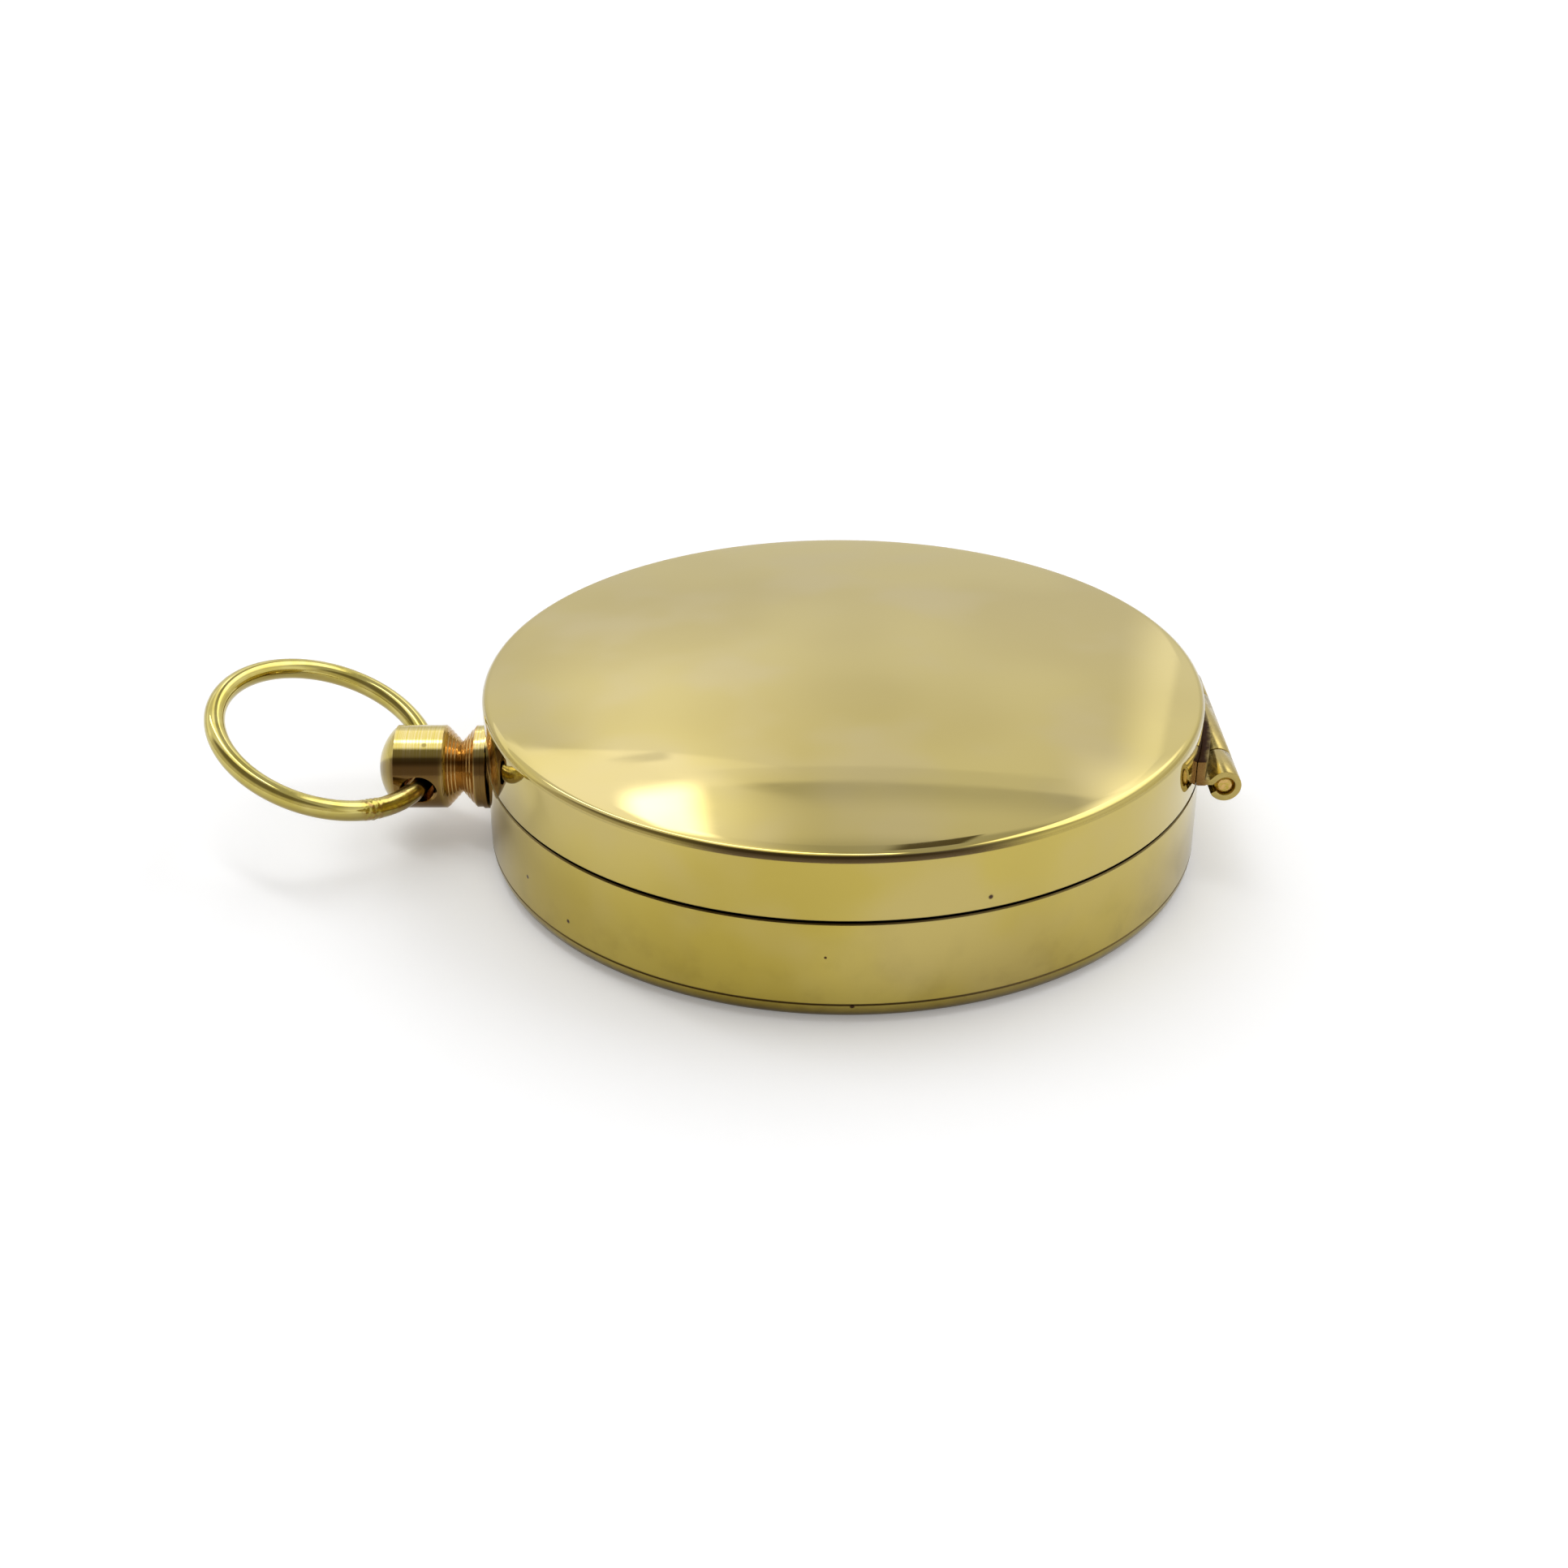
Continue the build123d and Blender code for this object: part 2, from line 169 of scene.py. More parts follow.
# Fineness of the meshes, and the angles in degrees past which an edge stays sharp
case_segments = 240
stem_segments = 160
drill_segments = 96
dome_steps = 40
rim_steps = 14
inner_round_steps = 10
edge_steps = 16
head_steps = 16
turned_sharp = 28.0
wire_sharp = 60.0
softened_sharp = 40.0
on_axis = press_gap / 10
weld_distance = press_gap / 20


class Tree:
    """Short calls that add and link the nodes of one material or world."""

    def __init__(self, tree):
        self.tree = tree

    def feed(self, socket, value):
        if isinstance(value, bpy.types.NodeSocket):
            self.tree.links.new(value, socket)
        else:
            socket.default_value = value

    def add(self, kind, inputs=(), **settings):
        node = self.tree.nodes.new("ShaderNode" + kind)
        for key, value in settings.items():
            setattr(node, key, value)
        for key, value in dict(inputs).items():
            self.feed(node.inputs[key], value)
        return node.outputs

    def math(self, operation, first, second=0.0):
        return self.add("Math", {0: first, 1: second}, operation=operation)[0]

    def vector(self, operation, first, second=(0, 0, 0)):
        return self.add("VectorMath", {0: first, 1: second}, operation=operation)

    def ramp(self, value, low, high, start=0.0, end=1.0):
        limits = {"Value": value, "From Min": low, "From Max": high, "To Min": start, "To Max": end}
        return self.add("MapRange", limits, interpolation_type="SMOOTHSTEP")["Result"]

    def mix(self, factor, first, second):
        return self.add("Mix", {0: factor, 6: first, 7: second}, data_type="RGBA")[2]

    def noise(self, place, scale, detail=2.0):
        return self.add("TexNoise", {"Vector": place, "Scale": scale, "Detail": detail})[0]

    def stretched(self, place, factors):
        return self.vector("MULTIPLY", place, factors)[0]

    def bump(self, height, distance):
        return self.add("Bump", {"Height": height, "Distance": distance})["Normal"]


class Finish(Tree):
    """A procedural material with one Principled shader."""

    def __init__(self, name, constants):
        self.material = bpy.data.materials.new(name)
        self.material.use_nodes = True
        super().__init__(self.material.node_tree)
        self.shader = self.tree.nodes["Principled BSDF"]
        where = self.add("TexCoord")
        self.place = where["Object"]
        self.facing = where["Normal"]
        self.set(constants)

    def set(self, sockets):
        for socket, value in sockets.items():
            self.feed(self.shader.inputs[socket], value)


lacquered = {
    "Metallic": 1.0,
    "Coat Weight": 0.5,
    "Coat Roughness": 0.03,
    "Coat IOR": 1.5,
}
wall_coat = 0.2


def wall_marks(specks):
    """The (point, radius) of each speck on the case wall, turned from the front towards the hinge."""
    marks = []
    for turn, height, radius in specks:
        point = Vector((case_radius * sin(radians(turn)), -case_radius * cos(radians(turn)), height))
        marks.append((point, radius))
    return marks


def spots(finish, marks):
    """A mask with a soft dark spot at each (point, radius)."""
    mask = 0.0
    for point, radius in marks:
        distance = finish.vector("DISTANCE", finish.place, point)["Value"]
        mask = finish.math("MAXIMUM", finish.ramp(distance, 0.4 * radius, radius, 1, 0), mask)
    return mask


def from_axis(finish):
    """The distance from the case's middle line."""
    return finish.vector("LENGTH", finish.stretched(finish.place, (1, 1, 0)))["Value"]


def grime(finish, heights):
    """A mask of dark polish left along the outer edges of the joints at these heights."""
    height = finish.add("SeparateXYZ", {0: finish.place})["Z"]
    mask = 0.0
    for level in heights:
        away = finish.math("ABSOLUTE", finish.math("SUBTRACT", height, level))
        mask = finish.math("MAXIMUM", finish.ramp(away, *grime_reach, grime_depth, 0), mask)
    start, end = (case_radius - inset for inset in grime_inset)
    outer = finish.ramp(from_axis(finish), start, end)
    return finish.math("MULTIPLY", outer, mask)


def polished_brass(name, marks=(), seams=(), stain_and_shade=None, paler_above=None, coat=0.5):
    """Buffed and lacquered sheet: soft tone changes, faint waves, fine polishing lines, specks."""
    finish = Finish(name, {**lacquered, "Coat Weight": coat})
    tone = finish.noise(finish.place, 70, 1)
    blotch = finish.ramp(finish.noise(finish.place, 110, 2), 0.42, 0.7, 0, 0.5)
    if paler_above:
        height = finish.add("SeparateXYZ", {0: finish.place})["Z"]
        pale = finish.ramp(height, paler_above - 0.3 * mm, paler_above, 0, 0.32)
        blotch = finish.math("ADD", blotch, pale)
    colour = finish.mix(finish.ramp(tone, 0.35, 0.65), brass_deep, brass_light)
    colour = finish.mix(blotch, colour, brass_rose)
    rubbed = finish.noise(finish.stretched(finish.place, (300, 900, 3000)), 1.0, 3)
    rough = finish.ramp(rubbed, 0.3, 0.75, 0.02, 0.05)
    mask = finish.math("MAXIMUM", spots(finish, marks), grime(finish, seams))
    # An extra mask given here adds stains, painted shade or a painted dark reflection to the dark mix.
    if stain_and_shade:
        mask = finish.math("MAXIMUM", stain_and_shade(finish), mask)
    finish.set({
        "Base Color": finish.mix(mask, colour, tarnish_and_shade),
        "Roughness": finish.math("ADD", rough, finish.math("MULTIPLY", mask, 0.3)),
        "Normal": finish.bump(finish.noise(finish.place, 130, 1), 4e-6),
    })
    return finish.material


def rim_stain(finish):
    """A painted dark reflection on the lower half of the rim's round, most of it at the front."""
    stain_height = rim_height + 0.43 * rim_round
    side, front = -0.86 * case_radius, -0.967 * case_radius
    parts = finish.add("SeparateXYZ", {0: finish.place})
    away = finish.math("ABSOLUTE", finish.math("SUBTRACT", parts["Z"], stain_height))
    mask = finish.ramp(away, 0.28 * rim_round, 0.4 * rim_round, 1, 0)
    outer = finish.ramp(from_axis(finish), case_radius - 0.45 * rim_round, case_radius - 0.3 * rim_round)
    # Painted reflection: faint at the sides, strongest at the front.
    depth = finish.ramp(parts["Y"], side, front, 0.2, 0.9)
    return finish.math("MULTIPLY", finish.math("MULTIPLY", mask, outer), depth)


def low_stain(finish):
    """Thin brown clouds on the wall, with painted shade: a little darker all over and more so low down."""
    fading_from = 5.5 * mm
    height = finish.add("SeparateXYZ", {0: finish.place})["Z"]
    # Painted shade: every place gets some darkening, and the height ramp below makes it stronger low down.
    clouds = finish.ramp(finish.noise(finish.place, 380, 4), 0.45, 0.75, 0.05, 0.2)
    return finish.math("MULTIPLY", clouds, finish.ramp(height, fading_from, band_bottom, 0.3, 1))


def edge_stain(finish):
    """Painted shade on the rounded bottom edge: darker towards the bottom, with an uneven upper limit."""
    low, high = 0.5 * mm, 1.6 * mm
    unevenness = 0.5 * mm
    height = finish.add("SeparateXYZ", {0: finish.place})["Z"]
    uneven = finish.math("MULTIPLY", finish.noise(finish.place, 900, 3), unevenness)
    # Painted shade: strongest at the bottom and fading upwards.
    return finish.ramp(finish.math("ADD", height, uneven), low, high, 0.75, 0.32)


def turned_brass(name):
    """The stem: turned bar, redder in the neck, with fine tool lines round it; painted shade browns its lower
    side, and a painted dark reflection runs in a band along it.
    """
    finish = Finish(name, {"Metallic": 1.0})
    parts = finish.add("SeparateXYZ", {0: finish.place})
    neck = finish.ramp(parts["X"], *neck_begins)
    collar = finish.ramp(parts["X"], *neck_ends)
    neck = finish.math("MULTIPLY", neck, finish.math("SUBTRACT", 1.0, collar))
    spoke = finish.vector("SUBTRACT", finish.place, (0, 0, stem_height))[0]
    spoke = finish.vector("NORMALIZE", finish.vector("MULTIPLY", spoke, (0, 1, 1))[0])[0]
    tilt = finish.add("SeparateXYZ", {0: spoke})["Z"]
    # Painted shade: all but the top of the stem is browned, less on the domed end and none in the neck.
    brown = finish.ramp(tilt, 0.75, 0.51, 0, 0.93)
    domed_end = finish.ramp(parts["X"], *dome_ends, 0.5, 1)
    elsewhere = finish.math("SUBTRACT", domed_end, neck)
    painted_lower_shade = finish.math("MULTIPLY", brown, elsewhere)
    # Painted dark reflection: a dark band along the stem under its top, fainter in the neck.
    dark_band_top = finish.ramp(tilt, 0.68, 0.61, 0, 0.7)
    dark_band_foot = finish.ramp(tilt, -0.1, 0.37)
    dark_band_depth = finish.math("MAXIMUM", elsewhere, finish.math("MULTIPLY", neck, 0.6))
    painted_dark_band = finish.math("MULTIPLY", finish.math("MULTIPLY", dark_band_top, dark_band_foot), dark_band_depth)
    stains = finish.ramp(finish.noise(finish.place, 700, 3), 0.35, 0.68, 0.1, 0.45)
    tools = finish.noise(finish.stretched(finish.place, (9000, 120, 120)), 1.0, 2)
    tone = finish.mix(finish.ramp(tools, 0.35, 0.65), brass_light, brass_pale)
    colour = finish.mix(neck, tone, finish.mix(stains, copper, bronze))
    colour = finish.mix(painted_lower_shade, colour, shade_umber)
    speck = finish.math("MULTIPLY", spots(finish, (stem_speck,)), 0.5)
    colour = finish.mix(finish.math("MAXIMUM", speck, painted_dark_band), colour, tarnish_and_shade)
    from_hole = finish.vector("SUBTRACT", finish.place, hole_centre)[0]
    from_hole = finish.vector("LENGTH", finish.vector("CROSS_PRODUCT", from_hole, hole_axis)[0])["Value"]
    drilled = finish.ramp(from_hole, *bore_edge, 1, 0)
    finish.set({
        "Base Color": finish.mix(drilled, colour, bronze),
        "Roughness": finish.ramp(tools, 0.3, 0.7, 0.06, 0.14),
        "Normal": finish.bump(tools, 2e-6),
    })
    return finish.material


def wire_brass(name, joint_point, dull_point):
    """The ring: bright drawn wire, rough at its brazed joint and dull from there to the stem, with painted shade
    on its underside.
    """
    finish = Finish(name, lacquered)
    tone = finish.noise(finish.place, 500, 2)
    colour = finish.mix(finish.ramp(tone, 0.35, 0.65), wire_deep, wire_light)
    worn = 0.0
    patches = ((joint_point, 0.6 * mm, 1.4 * mm, 1), (dull_point, 1.6 * mm, 2.6 * mm, 0.7))
    for point, near, far, depth in patches:
        distance = finish.vector("DISTANCE", finish.place, point)["Value"]
        worn = finish.math("MAXIMUM", finish.ramp(distance, near, far, depth, 0), worn)
    scuffs = finish.noise(finish.place, 2600, 3)
    patchy = finish.math("MULTIPLY", worn, finish.ramp(scuffs, 0.4, 0.65))
    # Painted shade: the wire is darker where its surface faces down.
    under = finish.ramp(finish.add("SeparateXYZ", {0: finish.facing})["Z"], 0.3, -0.4, 0, 0.85)
    colour = finish.mix(under, colour, wire_shade)
    rough = finish.ramp(scuffs, 0.35, 0.75, 0.05, 0.12)
    finish.set({
        "Base Color": finish.mix(patchy, colour, bronze),
        "Roughness": finish.math("ADD", rough, finish.math("MULTIPLY", worn, 0.22)),
        "Normal": finish.bump(scuffs, 2e-6),
    })
    return finish.material


def hinge_brass(name):
    """The hinge: rolled sheet, dark towards the case wall with soot from soldering and painted shade, less so on
    its cut ends.
    """
    soot_shade_from, soot_shade_to = case_radius + 0.65 * mm, case_radius + 1.35 * mm
    unevenness = 0.7 * mm
    finish = Finish(name, {"Specular IOR Level": 0.03})
    uneven = finish.math("MULTIPLY", finish.noise(finish.place, 1500, 3), unevenness)
    reach = finish.math("ADD", from_axis(finish), uneven)
    # Soot and painted shade: the sheet darkens towards the case wall, where it lies in shade.
    soot_and_shade = finish.ramp(reach, soot_shade_from, soot_shade_to, 1, 0)
    end = finish.math("ABSOLUTE", finish.add("SeparateXYZ", {0: finish.facing})["Y"])
    end = finish.ramp(end, 0.5, 0.9)
    tone = finish.mix(finish.noise(finish.place, 800, 2), sheet_deep, sheet_light)
    tone = finish.mix(finish.math("MULTIPLY", end, soot_and_shade), tone, bronze)
    soot_and_shade = finish.math("MULTIPLY", soot_and_shade, finish.ramp(end, 0, 1, 1, 0.35))
    rough = finish.ramp(finish.noise(finish.place, 2500, 3), 0.3, 0.7, 0.12, 0.28)
    finish.set({
        "Base Color": finish.mix(soot_and_shade, tone, soot_shade_brown),
        "Metallic": finish.math("SUBTRACT", 1.0, soot_and_shade),
        "Roughness": finish.math("ADD", rough, finish.math("MULTIPLY", soot_and_shade, 0.3)),
        "Normal": finish.bump(finish.noise(finish.place, 1800, 2), 4e-6),
    })
    return finish.material


def pin_brass(name):
    """The hinge pin: a little redder, its filed ends dull."""
    finish = Finish(name, {"Metallic": 1.0})
    grain = finish.noise(finish.place, 4000, 3)
    finish.set({
        "Base Color": finish.mix(finish.ramp(grain, 0.35, 0.7), copper, brass_deep),
        "Roughness": finish.ramp(grain, 0.3, 0.7, 0.2, 0.36),
        "Normal": finish.bump(grain, 6e-6),
    })
    return finish.material


def satin_brass(name, pitch=0.16 * mm):
    """Inner parts: turned about Z and left satin, with fine rings from the tool."""
    finish = Finish(name, {"Metallic": 1.0, "Anisotropic": 0.45})
    height = finish.add("SeparateXYZ", {0: finish.place})["Z"]
    travel = finish.math("ADD", from_axis(finish), finish.math("MULTIPLY", height, 0.6))
    wobble = finish.math("MULTIPLY", finish.noise(finish.place, 60, 2), 0.6 * pitch)
    phase = finish.math("MULTIPLY", finish.math("ADD", travel, wobble), 2 * pi / pitch)
    rings = finish.math("MULTIPLY", finish.math("SINE", phase), 0.5)
    tone = finish.noise(finish.place, 60, 2)
    finish.set({
        "Base Color": finish.mix(finish.ramp(tone, 0.2, 0.8), brass_deep, satin_light),
        "Roughness": finish.ramp(rings, -0.5, 0.5, 0.265, 0.295),
        "Normal": finish.bump(rings, 0.7e-6),
        "Tangent": finish.add("Tangent", direction_type="RADIAL", axis="Z")[0],
    })
    return finish.material


def printed_paper(name):
    """Cream dial paper: faint fibres, a warmer tone towards the edge and a few foxing spots."""
    warm_from, warm_to = 10 * mm, 23 * mm
    finish = Finish(name, {"Specular IOR Level": 0.3})
    fibres = finish.noise(finish.stretched(finish.place, (2600, 900, 900)), 1.0, 4)
    reach = finish.vector("LENGTH", finish.place)["Value"]
    paper = finish.mix(finish.ramp(reach, warm_from, warm_to), paper_cream, paper_edge)
    shade = finish.mix(finish.ramp(fibres, 0.3, 0.7, 0, 0.35), paper, paper_fibre)
    foxing = finish.ramp(finish.noise(finish.place, 420, 2), 0.68, 0.78, 0, 0.35)
    finish.set({
        "Base Color": finish.mix(foxing, shade, foxing_brown),
        "Roughness": finish.ramp(fibres, 0.3, 0.7, 0.55, 0.75),
        "Normal": finish.bump(fibres, 6e-6),
    })
    return finish.material


def printed_ink(name, colour):
    """Ink that took unevenly on the paper."""
    finish = Finish(name, {"Specular IOR Level": 0.35})
    worn = finish.ramp(finish.noise(finish.place, 5000, 3), 0.45, 0.8, 0, 0.4)
    paler = tuple(0.75 * part + 0.25 * 0.5 for part in colour[:3]) + (1,)
    finish.set({
        "Base Color": finish.mix(worn, colour, paler),
        "Roughness": finish.ramp(worn, 0, 0.4, 0.45, 0.65),
    })
    return finish.material


def needle_finish(name):
    """Steel blade: red lacquer on the north half, bright steel on the south half."""
    north_edge, south_edge = -2.05 * mm, -1.95 * mm
    finish = Finish(name, {"Coat Weight": 0.6, "Coat Roughness": 0.06})
    along = finish.add("SeparateXYZ", {0: finish.place})["X"]
    north = finish.ramp(along, north_edge, south_edge, 1, 0)
    grain = finish.noise(finish.stretched(finish.place, (300, 6000, 300)), 1.0, 3)
    steel = finish.mix(finish.ramp(grain, 0.3, 0.7), blade_deep, blade_light)
    red = finish.mix(finish.noise(finish.place, 900, 2), lacquer_deep, lacquer_light)
    finish.set({
        "Base Color": finish.mix(north, steel, red),
        "Metallic": finish.math("SUBTRACT", 1.0, north),
        "Roughness": finish.ramp(grain, 0.3, 0.7, 0.18, 0.32),
        "Normal": finish.bump(grain, 1e-6),
    })
    return finish.material


def ground_steel(name):
    """Hardened pivot, ground to a point."""
    finish = Finish(name, {"Metallic": 1.0})
    grain = finish.noise(finish.stretched(finish.place, (900, 900, 12000)), 1.0, 2)
    finish.set({
        "Base Color": finish.mix(grain, pivot_deep, pivot_light),
        "Roughness": finish.ramp(grain, 0.3, 0.7, 0.2, 0.35),
    })
    return finish.material


def ruby(name):
    """Cup jewel: a deep red stone with faint clouds."""
    finish = Finish(name, {"IOR": 1.76, "Transmission Weight": 0.5, "Roughness": 0.05})
    clouds = finish.noise(finish.place, 2500, 2)
    finish.set({"Base Color": finish.mix(clouds, ruby_deep, ruby_light)})
    return finish.material


def clear_glass(name):
    """Flat window glass, with a trace of unevenness."""
    finish = Finish(name, {
        "Base Color": glass_tint,
        "Roughness": 0.0,
        "IOR": 1.5,
        "Transmission Weight": 1.0,
    })
    finish.set({"Normal": finish.bump(finish.noise(finish.place, 90, 1), 1e-6)})
    return finish.material


def arc(centre, radius, start, end, steps):
    """Points of an arc in (radius, height), angles in degrees from the outward direction."""
    points = []
    for step in range(steps + 1):
        angle = radians(start + (end - start) * step / steps)
        points.append((centre[0] + radius * cos(angle), centre[1] + radius * sin(angle)))
    return points


def lathe(name, outline, finishes=None, segments=case_segments):
    """A mesh turned about Z from (radius, height) points.

    An outline that starts on the axis ends there too, and any other one is a closed loop.
    finishes gives each stretch's material slot.
    """
    form = bmesh.new()
    rings = []
    for radius, height in outline:
        if radius < on_axis:
            rings.append([form.verts.new((0, 0, height))] * segments)
            continue
        turns = [2 * pi * k / segments for k in range(segments)]
        rings.append([form.verts.new((radius * cos(a), radius * sin(a), height)) for a in turns])
    pairs = list(zip(rings, rings[1:]))
    if outline[0][0] > on_axis:
        pairs.append((rings[-1], rings[0]))
    for stretch, (low, high) in enumerate(pairs):
        for k in range(segments):
            after = (k + 1) % segments
            corners = dict.fromkeys((low[k], low[after], high[after], high[k]))
            face = form.faces.new(list(corners))
            face.material_index = finishes[stretch] if finishes else 0
    return solid(name, form)


def smoothed(mesh, sharp=turned_sharp):
    """Shades a mesh smooth, apart from its sharp edges."""
    mesh.shade_smooth()
    mesh.set_sharp_from_angle(angle=radians(sharp))


def solid(name, form, sharp=turned_sharp):
    """An object from a bmesh, with its faces turned outwards."""
    bmesh.ops.recalc_face_normals(form, faces=form.faces)
    mesh = bpy.data.meshes.new(name)
    form.to_mesh(mesh)
    form.free()
    smoothed(mesh, sharp)
    piece = bpy.data.objects.new(name, mesh)
    scene.collection.objects.link(piece)
    return piece


def rod(name, radius, low, high, segments=case_segments):
    """A plain round rod along Z."""
    return lathe(name, [(0, low), (radius, low), (radius, high), (0, high)], segments=segments)


def dress(piece, body, slot, materials, *replaced):
    """Gives a new piece its materials and body, and hides the nodes that it stands for."""
    for material in materials:
        piece.data.materials.append(material)
    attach(piece, body)
    if replaced:
        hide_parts(*replaced)
    return piece


def applied(piece):
    """Replaces a piece's mesh by the one its modifiers give."""
    depsgraph = bpy.context.evaluated_depsgraph_get()
    mesh = bpy.data.meshes.new_from_object(piece.evaluated_get(depsgraph))
    piece.modifiers.clear()
    piece.data = mesh
    return piece


def cut(piece, tool):
    """Takes a tool's shape out of a piece and deletes the tool."""
    modifier = piece.modifiers.new("cut", "BOOLEAN")
    modifier.operation = "DIFFERENCE"
    modifier.solver = "EXACT"
    modifier.object = tool
    applied(piece)
    bpy.data.objects.remove(tool)
    smoothed(piece.data)
    return piece


def placed(piece, matrix):
    """Moves a new piece's vertices into the frame."""
    piece.data.transform(matrix)
    return piece


def hinge_recess():
    """The hollow that the hinge's barrel has in the edges of the lid and the band."""
    half = 10 * mm
    tool = rod("recess", barrel_radius + recess_gap, -half, half, drill_segments)
    return placed(tool, Matrix.Translation(hinge_axis) @ Matrix.Rotation(radians(90), 4, "X"))


def make_lid():
    """Domed lid with its rim round and seam break, polished outside and satin inside."""
    middle = lid_top - dome_radius
    inner = case_radius - lid_wall
    rim_start = degrees(atan2(rim_height - middle, rim_radius))
    inner_centre_radius = inner - lid_inner_round
    inner_middle = middle - lid_thickness
    inner_centre = inner_middle + sqrt((dome_radius - lid_inner_round) ** 2 - inner_centre_radius**2)
    inner_start = degrees(atan2(inner_centre - inner_middle, inner_centre_radius))
    outside = arc((0, middle), dome_radius, 90, rim_start, dome_steps)
    outside += arc((rim_radius, rim_height), rim_round, rim_start, 0, rim_steps)[1:]
    outside += [
        (case_radius, (lid_bottom + rim_height) / 2),
        (case_radius, lid_bottom + seam_break),
        (case_radius - seam_break, lid_bottom),
    ]
    inside = [(inner, lid_bottom)]
    inside += arc((inner_centre_radius, inner_centre), lid_inner_round, 0, inner_start, inner_round_steps)
    inside += arc((0, inner_middle), dome_radius, inner_start, 90, dome_steps)[1:]
    finishes = [0] * len(outside) + [1] * (len(inside) - 1)
    piece = cut(lathe("lid_shell", outside + inside, finishes), hinge_recess())
    dome_start = lid_top - dome_rise + 0.1 * mm
    inside_pitch = 0.3 * mm
    # The outside's rim carries a painted dark reflection, strongest at the front.
    outer = polished_brass("lid_brass", wall_marks(lid_specks), (lid_bottom,), rim_stain, dome_start)
    materials = [outer, satin_brass("lid_inside_brass", inside_pitch)]
    return dress(piece, "lid", "case_brass", materials, "lid")


def make_band():
    """Straight side wall of the base, with the hole for the stem's shank."""
    inner = case_radius - band_wall
    outline = [
        (inner, band_bottom),
        (case_radius - joint_break, band_bottom),
        (case_radius, band_bottom + joint_break),
        (case_radius, (band_bottom + band_top) / 2),
        (case_radius, band_top - seam_break),
        (case_radius - seam_break, band_top),
        (inner, band_top),
    ]
    piece = lathe("band_wall", outline)
    drill = rod("drill", shank_radius, -band_wall, 2 * band_wall)
    across = Matrix.Translation((-case_radius, 0, stem_height)) @ Matrix.Rotation(radians(90), 4, "Y")
    cut(piece, placed(drill, across))
    cut(piece, hinge_recess())
    joints_at = (band_bottom, band_top)
    # The band's finish adds brown clouds and painted shade that is stronger low down.
    material = polished_brass("band_brass", wall_marks(band_specks), joints_at, low_stain, coat=wall_coat)
    return dress(piece, "base", "case_brass", [material], "base_band")


def make_plate():
    """Bottom plate with its rounded lower edge and the spigot inside the band."""
    spigot = case_radius - band_wall - press_gap
    outline = [(0, 0)]
    outline += arc((case_radius - edge_round, edge_round), edge_round, -90, 0, edge_steps)
    outline += [
        (case_radius, band_bottom - joint_break),
        (case_radius - joint_break, band_bottom),
        (spigot, band_bottom),
        (spigot, plate_top),
        (0, plate_top),
    ]
    piece = lathe("bottom_plate", outline)
    marks = wall_marks(plate_specks)
    # The plate's finish is darkened low down by painted shade.
    material = polished_brass("plate_brass", marks, (band_bottom,), edge_stain, coat=wall_coat)
    return dress(piece, "base", "case_brass", [material], "base_plate")


def make_stem():
    """Turned stem with fine ridges in its neck, drilled across for the ring."""
    ridge_pitch = 0.24 * mm
    ridge_height = 0.035 * mm
    ridge_steps = 6
    fade = 4
    shank_reach = case_radius + shank_end
    head_end = -stem_end - case_radius - head_dome
    outline = [
        (0, -shank_reach),
        (shank_radius, -shank_reach),
        (shank_radius, collar_gap),
        (collar_radius - ridge_height, collar_gap),
        (collar_radius, collar_gap + ridge_height),
        (collar_radius, collar_gap + collar_step - ridge_height),
        (front_collar_radius, collar_gap + collar_step),
        (front_collar_radius, front_collar_end - ridge_height),
    ]
    for start, end, wide, narrow in (
        (front_collar_end, neck_distance, front_collar_radius, neck_radius),
        (neck_distance, head_start, neck_radius, head_radius),
    ):
        count = round((end - start) / ridge_pitch) * ridge_steps
        for step in range(count):
            share = step / count
            ripple = ridge_height * sin(2 * pi * step / ridge_steps)
            ripple *= min(1.0, fade * share, fade * (1 - share))
            outline.append((wide + (narrow - wide) * share + ripple, start + (end - start) * share))
    dome_sphere = (head_radius**2 + head_dome**2) / (2 * head_dome)
    dome_edge = degrees(asin((dome_sphere - head_dome) / dome_sphere))
    outline += [(head_radius - ridge_height, head_start), (head_radius, head_start + ridge_height)]
    outline += [(head_radius, head_end - ridge_height)]
    outline += arc((0, head_end + head_dome - dome_sphere), dome_sphere, dome_edge, 90, head_steps)
    piece = lathe("stem_turned", outline, segments=stem_segments)
    outwards = Matrix.Translation((-case_radius, 0, stem_height)) @ Matrix.Rotation(radians(-90), 4, "Y")
    placed(piece, outwards)
    half = 1.6 * head_radius
    mouth = head_radius - 2 * hole_flare
    drill_outline = [
        (0, -half),
        (hole_radius + half - mouth, -half),
        (hole_radius, -mouth),
        (hole_radius, mouth),
        (hole_radius + half - mouth, half),
        (0, half),
    ]
    drill = lathe("drill", drill_outline, segments=drill_segments)
    across = Matrix.Translation(hole_centre) @ hole_axis.to_track_quat("Z", "Y").to_matrix().to_4x4()
    cut(piece, placed(drill, across))
    return dress(piece, "base", "case_brass", [turned_brass("stem_brass")], "stem")


